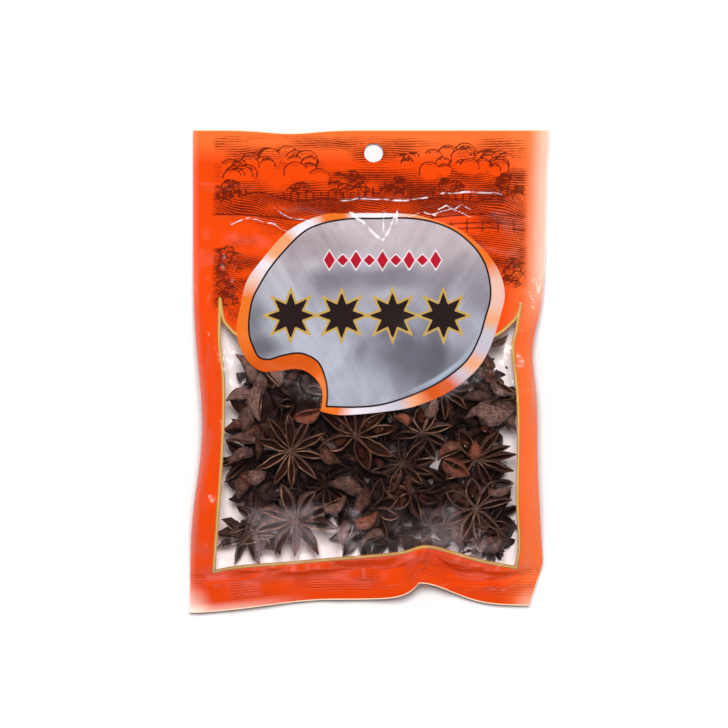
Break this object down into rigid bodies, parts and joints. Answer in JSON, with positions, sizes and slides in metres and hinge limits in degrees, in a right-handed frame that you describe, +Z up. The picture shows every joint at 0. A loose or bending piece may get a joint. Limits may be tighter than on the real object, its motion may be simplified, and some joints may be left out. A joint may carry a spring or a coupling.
{
  "type": "bag of star anise pods",
  "caption": "Sealed flat pillow bag of dried star anise pods, with a printed film border, a clear window and a header with a hang hole.",
  "frame": {"origin": "on the resting plane, under the middle of the bag's box", "axes": "+Z up, out of the bag's front; +Y up the bag, from the crimped seal to the header; +X to the right, seen from the front"},
  "size_m": [0.149, 0.2002, 0.0286],
  "materials": {
    "printed_film": "glossy thin film printed orange, with a satin silver label, a clear window and line work",
    "clear_film": "clear glossy thin film, lightly creased",
    "star_anise": "dry, dark brown, finely wrinkled",
    "seed": "smooth and glossy reddish brown"
  },
  "bodies": {
    "root": {"bag": "printed_film"}
  },
  "joints": []
}
